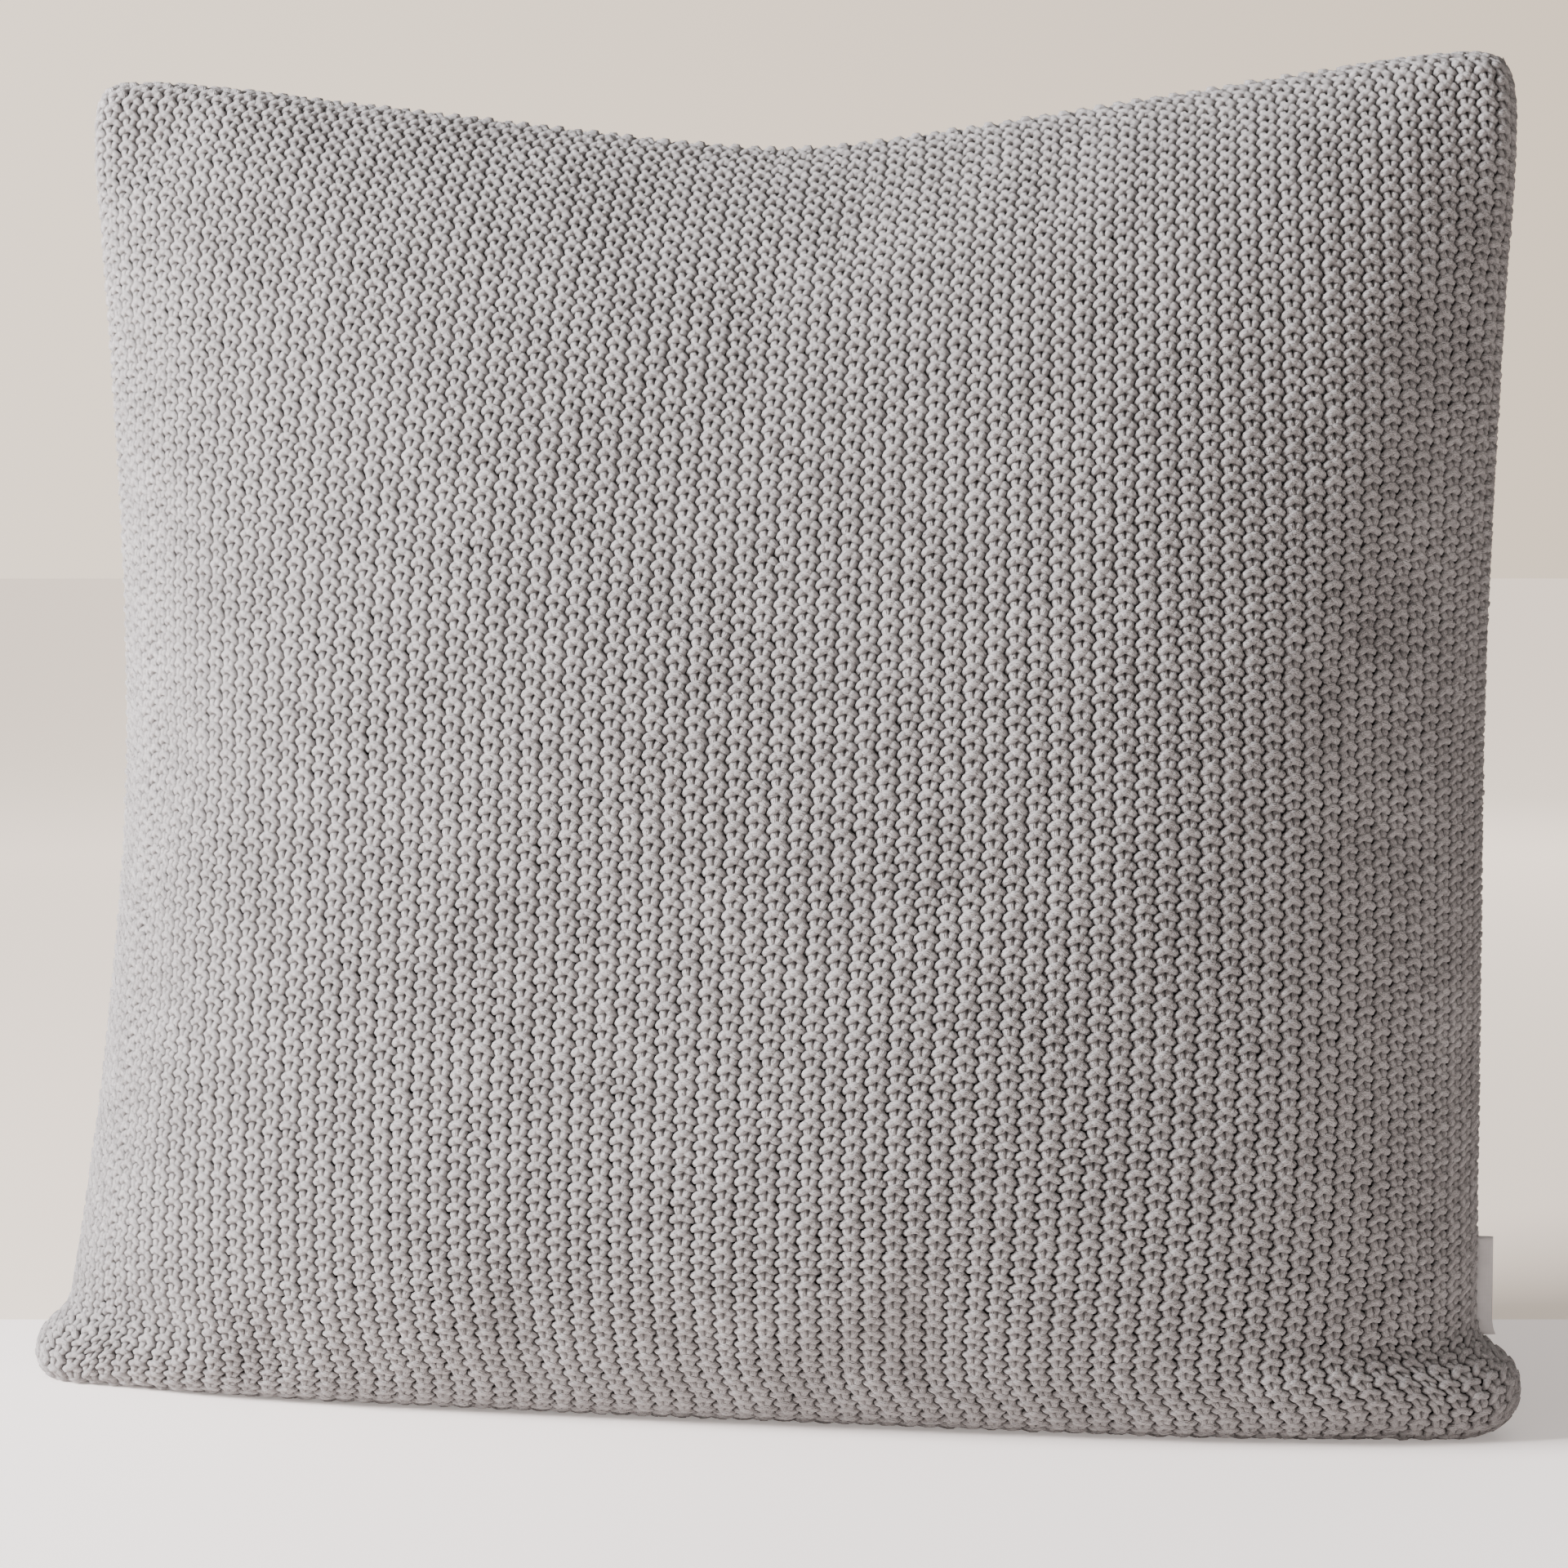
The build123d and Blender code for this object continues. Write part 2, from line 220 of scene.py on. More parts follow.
def panel_points(share, climb, slot, side):
    """Points of a panel. share is -1 to 1 across it, climb is 0 to 1 from the bottom seam up."""
    level = np.clip((climb - UNDER) / (1 - UNDER), 0, 1)
    out = np.abs(share)
    z = level * (top_at(share) - REST_HEIGHT)
    half = side_at(level * TOP_CORNER, np.sign(share))
    across = (1 - np.clip(out, 0, 1) ** ACROSS_POWERS[0]) ** ACROSS_POWERS[1]
    foot = FOOT_HALF * (1 - out**FOOT_POWER) / HALF_DEPTH
    rise = np.clip(level / CROWN_LEVEL, 0, 1)
    fall = np.clip((level - CROWN_LEVEL) / (1 - CROWN_LEVEL), 0, 1)
    low = foot + (across - foot) * np.sqrt(1 - (1 - rise) ** RISE_POWER)
    high = across * (1 - fall ** FALL_POWERS[0]) ** FALL_POWERS[1]
    depth = HALF_DEPTH * np.where(level < CROWN_LEVEL, low, high)
    lobe = np.exp(-((level * TOP_CORNER / EAR_SPREAD[1] / EAR_FADE) ** EAR_POWER))
    lobe *= smooth_step((out - EAR_START) / EAR_RAMP)
    radius = EDGE_ROUND + EAR_ROUND * lobe
    least = edge_depth(np.minimum((1 - out) * half, (1 - level) * TOP_CORNER), radius)
    depth = (depth**EDGE_BLEND + least**EDGE_BLEND) ** (1 / EDGE_BLEND)
    depth = slot + (depth - slot) * np.clip(climb / UNDER, 0, 1)
    cut = 1 - CORNER_CUT * (out * np.clip(2 * level - 1, 0, 1)) ** CUT_POWER
    x = share * half * cut
    z = TOP_CORNER / 2 + (z - TOP_CORNER / 2) * cut
    return np.stack([x, side * depth, z + REST_HEIGHT], -1)


def evened(share, climb, slot, side, axis):
    """Moves share and climb so that their points are evenly spaced along an axis of the grid."""
    points = panel_points(share, climb, slot, side)
    steps = np.linalg.norm(np.diff(points, axis=axis), axis=-1)
    if axis == 0:
        steps, share, climb = steps.T, share.T, climb.T
    new = [np.empty_like(share), np.empty_like(climb)]
    for i, step in enumerate(steps):
        length = np.concatenate([[0], np.cumsum(step)])
        even = np.linspace(0, length[-1], len(length))
        new[0][i] = np.interp(even, length, share[i])
        new[1][i] = np.interp(even, length, climb[i])
    return [grid.T for grid in new] if axis == 0 else new


def filled_panels():
    """Grids of the front and back panels, standing on the floor, with evenly sized stitches."""
    steps = np.linspace(0, 1, FINE * 2 + 1)
    u, v = np.meshgrid(steps, steps)
    slot = SLOT_HALF * smooth_step((SLOT_END - np.abs(2 * u - 1)) / SLOT_TAPER)
    panels = []
    for side in (-1, 1):
        share, climb = 2 * u - 1, v.copy()
        for axis in (0, 1, 0, 1, 0):
            share, climb = evened(share, climb, slot, side, axis)
        panels.append(panel_points(share, climb, slot, side)[::2, ::2])
    u, v = u[::2, ::2], v[::2, ::2]
    calm = np.sin(np.pi * u) * np.sin(np.pi * v) ** WAVE_CALM
    for grid in panels:
        swell = 0
        for across, up, phase, height in WAVES:
            wave = np.sin(2 * np.pi * across * u + phase) * np.cos(2 * np.pi * up * v + 2 * phase)
            swell = swell + height * wave
        grid[..., 1] += swell * calm * WAVE_HEIGHT * MM
        grid[..., 1] += LEAN * grid[..., 2]
    seam = (panels[0] + panels[1]) / 2
    for edge in (np.s_[-1, :], np.s_[:, 0], np.s_[:, -1]):
        panels[0][edge] = panels[1][edge] = seam[edge]
    return panels


def settling_cover(start):
    """An object of both panels' points, with the seams and the foot in the group held."""
    number = np.arange(start[0, ..., 0].size).reshape(start.shape[1:3])
    faces = [grid_faces(number), grid_faces(number + number.size)[:, ::-1]]
    mesh = bpy.data.meshes.new("settling")
    mesh.from_pydata(start.reshape(-1, 3).tolist(), [], np.concatenate(faces).tolist())
    cover = bpy.data.objects.new("settling", mesh)
    bpy.context.scene.collection.objects.link(cover)
    held = np.ones(number.shape, bool)
    held[SETTLE_HELD:-1, 1:-1] = False
    held_points = np.concatenate([number[held], number[held] + number.size])
    cover.vertex_groups.new(name="held").add(held_points.tolist(), 1.0, "REPLACE")
    return cover


def simulated(cover):
    """Runs the cloth simulation on an object, removes it, and returns where its points end."""
    cloth = cover.modifiers.new("Cloth", "CLOTH")
    knit = cloth.settings
    knit.quality = 5
    knit.mass = 0.3
    knit.tension_stiffness = 15
    knit.compression_stiffness = 15
    knit.shear_stiffness = 5
    knit.bending_stiffness = 0.5
    knit.air_damping = 3
    knit.shrink_min = -SETTLE_SLACK
    knit.use_pressure = True
    knit.uniform_pressure_force = SETTLE_PRESSURE
    knit.vertex_group_mass = "held"
    knit.effector_weights.gravity = 0
    cloth.collision_settings.use_collision = False
    cloth.point_cache.frame_start = 1
    cloth.point_cache.frame_end = SETTLE_FRAMES
    for step in range(1, SETTLE_FRAMES + 1):
        bpy.context.scene.frame_set(step)
    ended = cover.evaluated_get(bpy.context.evaluated_depsgraph_get()).data
    points = np.empty(len(ended.vertices) * 3)
    ended.vertices.foreach_get("co", points)
    bpy.context.scene.frame_set(1)
    bpy.data.objects.remove(cover)
    return points


def settled(panels):
    """Moves both panels by what the cloth simulation gives, on cells twice as long as theirs."""
    start = np.stack([grid[::2, ::2] for grid in panels])
    ended = simulated(settling_cover(start)).reshape(start.shape)
    steps = np.linspace(0, 1, FINE + 1)
    u, v = np.meshgrid(steps, steps)
    for panel, moved in zip(panels, ended - start):
        moved *= SETTLE_CAP / np.hypot(SETTLE_CAP, np.linalg.norm(moved, axis=-1, keepdims=True))
        shift = Surface(moved).at(u, v)[0]
        shift[0] = shift[-1] = shift[:, 0] = shift[:, -1] = 0
        panel += shift
    return panels


class Surface:
    """A cubic B-spline surface over a grid of points. u runs to its right, v runs up."""

    def __init__(self, grid):
        g = np.pad(grid, ((1, 1), (1, 1), (0, 0)))
        g[1:-1, 1:-1] = grid
        g[0] = 2 * g[1] - g[2]
        g[-1] = 2 * g[-2] - g[-3]
        g[:, 0] = 2 * g[:, 1] - g[:, 2]
        g[:, -1] = 2 * g[:, -2] - g[:, -3]
        self.control = g
        self.cells = grid.shape[0] - 1

    def spans(self, value):
        """The first control point, the four weights, and their slopes, at each value."""
        place = np.clip(value, 0, 1) * self.cells
        cell = np.minimum(place.astype(int), self.cells - 1)
        t = place - cell
        r = 1 - t
        weights = [r**3 / 6, (3 * t**3 - 6 * t**2 + 4) / 6, (3 * r**3 - 6 * r**2 + 4) / 6, t**3 / 6]
        slopes = [-(r**2) / 2, (3 * t**2 - 4 * t) / 2, (4 * r - 3 * r**2) / 2, t**2 / 2]
        return cell, weights, slopes

    def at(self, u, v):
        """Points and outward unit normals at arrays of u and v."""
        column, wu, du = self.spans(u)
        row, wv, dv = self.spans(v)
        point, along, up = (np.zeros(u.shape + (3,)) for _ in range(3))
        for i in range(4):
            for j in range(4):
                c = self.control[row + i, column + j]
                point += (wv[i] * wu[j])[..., None] * c
                along += (wv[i] * du[j])[..., None] * c
                up += (dv[i] * wu[j])[..., None] * c
        normal = np.cross(along, up)
        return point, normal / np.maximum(np.linalg.norm(normal, axis=-1, keepdims=True), 1e-12)


# -------------------------------------------------------------------------------- the yarn
def curve_points(knots, count):
    """Points on a smooth curve through the knots, further apart where it is hidden, and the
    distance along it to each."""
    knots = np.asarray(knots, float)
    ends = np.vstack([2 * knots[0] - knots[1], knots, 2 * knots[-1] - knots[-2]])
    t = np.linspace(0, len(knots) - 1, 400)
    cell = np.minimum(t.astype(int), len(knots) - 2)
    f = (t - cell)[:, None]
    p = [ends[cell + i] for i in range(4)]
    tension = 0.5
    square = 2 * p[0] - 5 * p[1] + 4 * p[2] - p[3]
    cube = 3 * (p[1] - p[2]) + p[3] - p[0]
    curve = p[1] + tension * f * (p[2] - p[0] + f * (square + f * cube))
    step = np.linalg.norm(np.diff(curve[:, :3], axis=0), axis=1)
    hidden = curve[1:, 2] < HIDDEN_HEIGHT
    length = np.concatenate([[0], np.cumsum(step)])
    weight = np.concatenate([[0], np.cumsum(np.where(hidden, step * 0.5, step))])
    even = np.interp(np.linspace(0, weight[-1], count), weight, length)
    return np.stack([np.interp(even, length, curve[:, k]) for k in range(curve.shape[1])], -1), even


def tube(path, radius):
    """Rings of points round a path, in rings x sides x 3, flattened towards the surface."""
    tangent = np.gradient(path, axis=0)
    tangent /= np.linalg.norm(tangent, axis=1, keepdims=True)
    across = np.cross(tangent, [0, 0, 1.0])
    thin = np.linalg.norm(across, axis=1) < 0.05
    across[thin] = [1.0, 0, 0]
    across /= np.linalg.norm(across, axis=1, keepdims=True)
    out = np.cross(across, tangent)
    angle = np.linspace(0, 2 * np.pi, SIDES, endpoint=False)
    c, s = np.cos(angle)[None, :, None], np.sin(angle)[None, :, None]
    ring = c * across[:, None] + s * out[:, None] * YARN_FLATNESS
    return path[:, None] + ring * radius[:, None, None]


class YarnBuilder:
    """Gathers lengths of yarn and makes one mesh of them."""

    def __init__(self):
        self.points, self.faces, self.uvs, self.tones, self.painted_lightness = [], [], [], [], []
        self.count = 0

    def add(self, rings, lengths, tones, painted_lightness=1.0):
        """rings is lengths-of-yarn x rings x sides x 3. lengths is the distance along each, and
        painted_lightness runs from 0, painted full shade low in the knit, to 1, no painted shade,
        at its outside."""
        number, steps, sides, _ = rings.shape
        self.painted_lightness.append(np.broadcast_to(painted_lightness, rings.shape[:3]).ravel())
        base = np.arange(number * steps * sides).reshape(number, steps, sides)
        after = np.roll(base, -1, axis=2)
        faces = np.stack([base[:, :-1], after[:, :-1], after[:, 1:], base[:, 1:]], -1)
        self.faces.append(faces.reshape(-1, 4) + self.count)
        round_ = np.arange(sides) / sides
        corner_v = np.stack([round_, round_ + 1 / sides, round_ + 1 / sides, round_], -1)
        corner_u = np.stack([lengths[:-1], lengths[:-1], lengths[1:], lengths[1:]], -1)
        uv = np.empty((number, steps - 1, sides, 4, 2))
        uv[..., 0] = corner_u[None, :, None, :]
        uv[..., 1] = corner_v[None, None, :, :]
        self.uvs.append(uv.reshape(-1, 2))
        self.points.append(rings.reshape(-1, 3))
        self.tones.append(np.repeat(tones, steps * sides))
        self.count += number * steps * sides

    def piece(self, name, material):
        points, faces = np.concatenate(self.points), np.concatenate(self.faces)
        mesh = bpy.data.meshes.new(name)
        mesh.vertices.add(len(points))
        mesh.vertices.foreach_set("co", points.ravel())
        mesh.loops.add(faces.size)
        mesh.loops.foreach_set("vertex_index", faces.ravel())
        mesh.polygons.add(len(faces))
        mesh.polygons.foreach_set("loop_start", np.arange(0, faces.size, 4))
        mesh.update(calc_edges=True)
        mesh.shade_smooth()
        layer = mesh.uv_layers.new(name="yarn")
        layer.uv.foreach_set("vector", np.concatenate(self.uvs).ravel())
        tone = mesh.attributes.new("tone", "FLOAT", "POINT")
        tone.data.foreach_set("value", np.concatenate(self.tones))
        # The height attribute carries painted shade: 0 where the yarn is painted in full shade, 1
        # where it has none.
        height = mesh.attributes.new("height", "FLOAT", "POINT")
        height.data.foreach_set("value", np.concatenate(self.painted_lightness))
        mesh.validate()
        return new_piece(name, mesh, material)


def new_piece(name, mesh, material):
    piece = bpy.data.objects.new(name, mesh)
    bpy.context.scene.collection.objects.link(piece)
    mesh.materials.append(material)
    return piece


# One front loop, from the middle of its head to where its foot goes behind and comes up again as
# the strand that lies on the next column. Columns: wales away from the loop's own, front loops
# up, height in mm above the middle of the knit, and thickness as a share of the yarn's.
LOOP_HEAD = (0.00, 0.69, 1.05, 1.26)
LOOP_LEG = [
    (0.11, 0.68, 1.00, 1.22),
    (0.20, 0.61, 0.66, 1.10),
    (0.22, 0.50, -0.10, 1.04),
    (0.21, 0.33, -0.25, 1.08),
    (0.20, 0.17, 0.15, 1.10),
    (0.20, 0.04, 0.70, 1.04),
    (0.15, -0.10, 0.86, 0.98),
    (0.12, -0.20, 0.20, 0.88),
    (0.18, -0.26, -1.10, 0.72),
]
STRAND_TO_THE_RIGHT = [
    (0.44, -0.24, -1.15, 0.75),
    (0.51, -0.20, -0.30, 0.92),
    (0.58, -0.14, 0.54, 1.00),
    (0.70, -0.01, 1.04, 1.08),
    (0.83, 0.09, 1.00, 1.06),
    (0.94, 0.15, 0.55, 0.96),
    (1.01, 0.17, -0.30, 0.80),
]
STRAND_TO_THE_LEFT = [
    (-0.44, -0.23, -1.15, 0.75),
    (-0.51, -0.19, -0.30, 0.92),
    (-0.58, -0.13, 0.50, 1.00),
    (-0.70, -0.02, 0.96, 1.07),
    (-0.83, 0.06, 0.84, 1.02),
    (-0.94, 0.11, 0.30, 0.90),
    (-1.01, 0.14, -0.45, 0.75),
]
SHADE_DEPTH = 0.65 * MM     # yarn this far below the middle is painted in full shade
SHADE_RANGE = 2.0 * MM      # from there up to where it is painted with no shade
LOOP_RINGS = 26             # rings of points along a loop
SIDES = 6                   # points in each ring


def loop_template(part):
    """Rings of one front loop laid flat, in metres. part is whole, left_edge or right_edge."""
    right_leg = np.array(LOOP_LEG)
    left_leg = right_leg * [-1, 1, 1, 1]
    knots = [left_leg[::-1], [LOOP_HEAD], right_leg]
    if part != "left_edge":
        knots.insert(0, STRAND_TO_THE_LEFT[::-1])
    if part != "right_edge":
        knots.append(STRAND_TO_THE_RIGHT)
    knots = np.vstack(knots) * [FLAT_SIDE / WALES, FLAT_SIDE / ROWS, MM, 1]
    rings = LOOP_RINGS if part == "whole" else LOOP_RINGS * 3 // 4
    points, lengths = curve_points(knots, rings)
    return tube(points[:, :3], points[:, 3] * YARN_RADIUS), lengths


def knit_panel(name, surface, material):
    """A seed-stitch panel: in each column a front loop on every other row, staggered."""
    yarn = YarnBuilder()
    for part in ("whole", "left_edge", "right_edge"):
        rings, lengths = loop_template(part)
        columns = {"whole": range(1, WALES - 1), "left_edge": [0], "right_edge": [WALES - 1]}[part]
        centres = []
        for column in columns:
            odd = column % 2
            for row in range(ROWS - odd):
                centres.append(((column + 0.5) / WALES, (row + 0.5 * odd + LOOP_START) / ROWS))
        centres = np.array(centres)
        place_loops(yarn, surface, rings, lengths, centres)
    return yarn.piece(name, material)


def place_loops(yarn, surface, rings, lengths, centres):
    """Lays one loop at each centre, in shares of the panel, each a little unlike the others."""
    number = len(centres)
    size = 1 + random.normal(0, SIZE_SPREAD, (number, 1, 1))
    tilt = random.normal(0, TILT_SPREAD, (number, 1, 1))
    lift = random.normal(0, LIFT_SPREAD, (number, 1, 1))
    shift = random.normal(0, SHIFT_SPREAD, (number, 2, 1, 1))
    flat = rings[None]
    x = flat[..., 0] * size + flat[..., 1] * tilt + shift[:, 0]
    y = flat[..., 1] * size - flat[..., 0] * tilt + shift[:, 1]
    u = centres[:, 0, None, None] + x / FLAT_SIDE
    v = centres[:, 1, None, None] + y / FLAT_SIDE
    point, normal = surface.at(u, v)
    laid = point + normal * (flat[..., 2] + lift)[..., None]
    laid[..., 2] = np.maximum(laid[..., 2], CLEARANCE)
    # Painted shade: yarn lower in the knit is painted darker, as if in shadow.
    painted_lightness = np.clip((flat[..., 2] + SHADE_DEPTH) / SHADE_RANGE, 0, 1)
    yarn.add(laid, lengths, random.random(number), painted_lightness)


# ---------------------------------------------------------------------------------- layers
def grid_faces(number):
    corners = [number[:-1, :-1], number[:-1, 1:], number[1:, 1:], number[1:, :-1]]
    return np.stack(corners, -1).reshape(-1, 4)


def layer_grid(surface, depth):
    """A grid of points set in from the middle of the knit by depth."""
    steps = np.linspace(0, 1, FINE + 1)
    u, v = np.meshgrid(steps, steps)
    point, normal = surface.at(u, v)
    return point - normal * depth


def sheet_layer(name, grid, material):
    """One open surface through a grid of points."""
    mesh = bpy.data.meshes.new(name)
    number = np.arange(grid[..., 0].size).reshape(grid.shape[:2])
    mesh.from_pydata(grid.reshape(-1, 3).tolist(), [], grid_faces(number).tolist())
    mesh.shade_smooth()
    return new_piece(name, mesh, material)


def insert_grids(front, back, depth):
    """Grids of the insert's two panels, joined all round and clear of the zipper."""
    grids = [layer_grid(front, depth), layer_grid(back, depth)[:, ::-1]]
    for grid in grids:
        grid[..., 2] = np.maximum(grid[..., 2], INSERT_FLOOR)
    seam = (grids[0] + grids[1]) / 2
    for edge in (np.s_[0, :], np.s_[-1, :], np.s_[:, 0], np.s_[:, -1]):
        grids[0][edge] = grids[1][edge] = seam[edge]
    return grids


def closed_layer(name, grids, material):
    """A closed cushion between two grids that share their edges."""
    number = np.arange(grids[0][..., 0].size).reshape(grids[0].shape[:2])
    inside = np.zeros(number.shape, bool)
    inside[1:-1, 1:-1] = True
    behind = number.copy()
    behind[inside] = number.size + np.arange(inside.sum())
    points = np.concatenate([grids[0].reshape(-1, 3), grids[1][inside]])
    faces = np.concatenate([grid_faces(number), grid_faces(behind)[:, ::-1]])
    mesh = bpy.data.meshes.new(name)
    mesh.from_pydata(points.tolist(), [], faces.tolist())
    mesh.shade_smooth()
    return new_piece(name, mesh, material)


def thin_cloth(name, grid, thickness, material):
    """A closed sheet of real thickness, with the grid as its middle."""
    along, up = np.gradient(grid, axis=1), np.gradient(grid, axis=0)
    normal = np.cross(along, up)
    normal /= np.linalg.norm(normal, axis=-1, keepdims=True)
    sides = [grid + normal * thickness / 2, grid - normal * thickness / 2]
    number = np.arange(grid[..., 0].size).reshape(grid.shape[:2])
    behind = number + number.size
    faces = [grid_faces(number), grid_faces(behind)[:, ::-1]]
    for edge, order in ((np.s_[0, :], 1), (np.s_[:, -1], 1), (np.s_[-1, :], -1), (np.s_[:, 0], -1)):
        near, far = number[edge][::order], behind[edge][::order]
        faces.append(np.stack([far[:-1], far[1:], near[1:], near[:-1]], -1))
    mesh = bpy.data.meshes.new(name)
    points = np.concatenate([side.reshape(-1, 3) for side in sides])
    mesh.from_pydata(points.tolist(), [], np.concatenate(faces).tolist())
    mesh.shade_smooth()
    return new_piece(name, mesh, material)


# --------------------------------------------------------------------------- seams, labels
def seam_cord(name, path, outward, radius, material):
    """A line of two-ply yarn along a seam. outward is the way out of the cover at each point."""
    length = np.concatenate([[0], np.cumsum(np.linalg.norm(np.diff(path, axis=0), axis=1))])
    even = np.linspace(0, length[-1], max(int(length[-1] / SEAM_STEP), 8))
    path = np.stack([np.interp(even, length, path[:, k]) for k in range(3)], -1)
    outward = np.stack([np.interp(even, length, outward[:, k]) for k in range(3)], -1)
    outward /= np.linalg.norm(outward, axis=1, keepdims=True)
    tangent = np.gradient(path, axis=0)
    tangent /= np.linalg.norm(tangent, axis=1, keepdims=True)
    across = np.cross(tangent, outward)
    turn = 2 * np.pi * even / SEAM_TWIST
    angle = np.linspace(0, 2 * np.pi, SIDES, endpoint=False)
    round_out, round_across = np.cos(angle)[None, :, None], np.sin(angle)[None, :, None]
    ring = round_out * outward[:, None] + round_across * across[:, None]
    rings = []
    for ply in (0, np.pi):
        c, s = np.cos(turn + ply)[:, None], np.sin(turn + ply)[:, None]
        middle = path + radius * PLY_SPACING * (c * outward + s * across)
        rings.append(middle[:, None] + ring * radius)
    rings = np.stack(rings)
    rings[..., 2] = np.maximum(rings[..., 2], CLEARANCE)
    yarn = YarnBuilder()
    yarn.add(rings, even, random.random(2))
    return yarn.piece(name, material)


def seam_edges(front, back):
    """The middle and the outward direction of each cover seam, by the CAD node it stands for."""
    steps = np.linspace(0, 1, 400)
    ends = {"top_seam": (steps, np.ones(400)), "left_seam": (np.zeros(400), steps),
            "right_seam": (np.ones(400), steps)}
    corner = np.linspace(0, (1 - SLOT_END) / 2 + 0.004, 40)
    ends["bottom_seam_left"] = (corner, np.zeros(40))
    ends["bottom_seam_right"] = (1 - corner, np.zeros(40))
    edges = {}
    for node, (u, v) in ends.items():
        near, near_out = front.at(u, v)
        far, far_out = back.at(1 - u, v)
        edges[node] = ((near + far) / 2, near_out + far_out)
    return edges


def folded_label(edge, material):
    """A blank woven label, folded in half and caught in the right seam by its two ends."""
    path, outward = edge
    low, high = (corner[2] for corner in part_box("side_label"))
    z = np.linspace(low, high, 24)
    root_x = np.interp(z, path[:, 2], path[:, 0]) - LABEL_ROOT
    root_y = np.interp(z, path[:, 2], path[:, 1])
    t = np.linspace(-1, 1, 49)
    out = 1 - np.abs(t)
    gap = LABEL_LOOP * np.sin(np.pi * np.clip(out, 0, 1) ** 0.8) ** 0.5 * (1 - out**8) * np.sign(-t)
    reach = (LABEL_ROOT + LABEL_REACH) * (1 - np.abs(t) ** 1.25)
    curl = LABEL_CURL * out[None] ** 2 * np.sin(3.2 * (z - low) / (high - low) + 0.4)[:, None]
    grid = np.stack([
        root_x[:, None] + reach[None],
        root_y[:, None] + gap[None] + curl - LABEL_LEAN * out[None],
        np.broadcast_to(z[:, None], curl.shape) + LABEL_DROOP * out[None],
    ], -1)
    label = thin_cloth("side_label_cloth", grid, LABEL_THICKNESS, material)
    return label


def care_label(back, material):
    """A blank care label inside the cover, sewn into the left seam, lying on the back panel."""
    low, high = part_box("care_label")
    width, length = high[2] - low[2], CARE_LENGTH
    steps = np.linspace(0, 1, 200)
    column = back.at(np.full(200, 1 - length / 2 / FLAT_SIDE), steps)[0]
    start = np.interp(low[2], column[:, 2], steps)
    row = back.at(steps, np.full(200, start))[0]
    tall, wide = (np.linalg.norm(np.diff(line, axis=0), axis=1).sum() for line in (column, row))
    u = np.linspace(1 - length / wide - CARE_SEAM, 1 - CARE_SEAM, 24)
    v = np.linspace(start, start + width / tall, 16)
    u, v = np.meshgrid(u, v)
    point, normal = back.at(u, v)
    label = thin_cloth("care_label_cloth", point - normal * CARE_DEPTH, LABEL_THICKNESS, material)
    return label


# ------------------------------------------------------------------------------- materials
class Nodes:
    """Short hand for building a material's nodes."""

    def __init__(self, name):
        self.material = bpy.data.materials.new(name)
        self.material.use_nodes = True
        self.tree = self.material.node_tree
        self.shader = self.tree.nodes["Principled BSDF"]
        self.place = self.node("ShaderNodeTexCoord").outputs["Object"]

    def node(self, kind, values=None, **inputs):
        made = self.tree.nodes.new(kind)
        for key, value in (values or {}).items():
            setattr(made, key, value)
        for key, value in inputs.items():
            self.feed(made.inputs[key.replace("_", " ")], value)
        return made

    def feed(self, socket, value):
        if isinstance(value, bpy.types.NodeSocket):
            self.tree.links.new(value, socket)
        else:
            socket.default_value = value

    def maths(self, operation, *values):
        made = self.tree.nodes.new("ShaderNodeMath")
        made.operation = operation
        for socket, value in zip(made.inputs, values):
            self.feed(socket, value)
        return made.outputs[0]

    def mix(self, factor, first, second):
        made = self.tree.nodes.new("ShaderNodeMix")
        made.data_type = "RGBA"
        self.feed(made.inputs[0], factor)
        self.feed(made.inputs[6], first)
        self.feed(made.inputs[7], second)
        return made.outputs[2]

    def noise(self, vector, scale, detail=2.0, rough=0.5):
        made = self.node("ShaderNodeTexNoise", Vector=vector, Scale=scale, Detail=detail,
                         Roughness=rough)
        return made.outputs["Fac"]

    def bump(self, height, distance, strength=1.0, normal=None):
        made = self.node("ShaderNodeBump", Height=height, Distance=distance, Strength=strength)
        if normal is not None:
            self.feed(made.inputs["Normal"], normal)
        return made.outputs["Normal"]


def colour(r, g, b):
    """An sRGB colour, from 0 to 255, as the linear one that the shader takes."""
    def linear(c):
        c /= 255
        return c / 12.92 if c <= 0.04045 else ((c + 0.055) / 1.055) ** 2.4
    return (linear(r), linear(g), linear(b), 1.0)


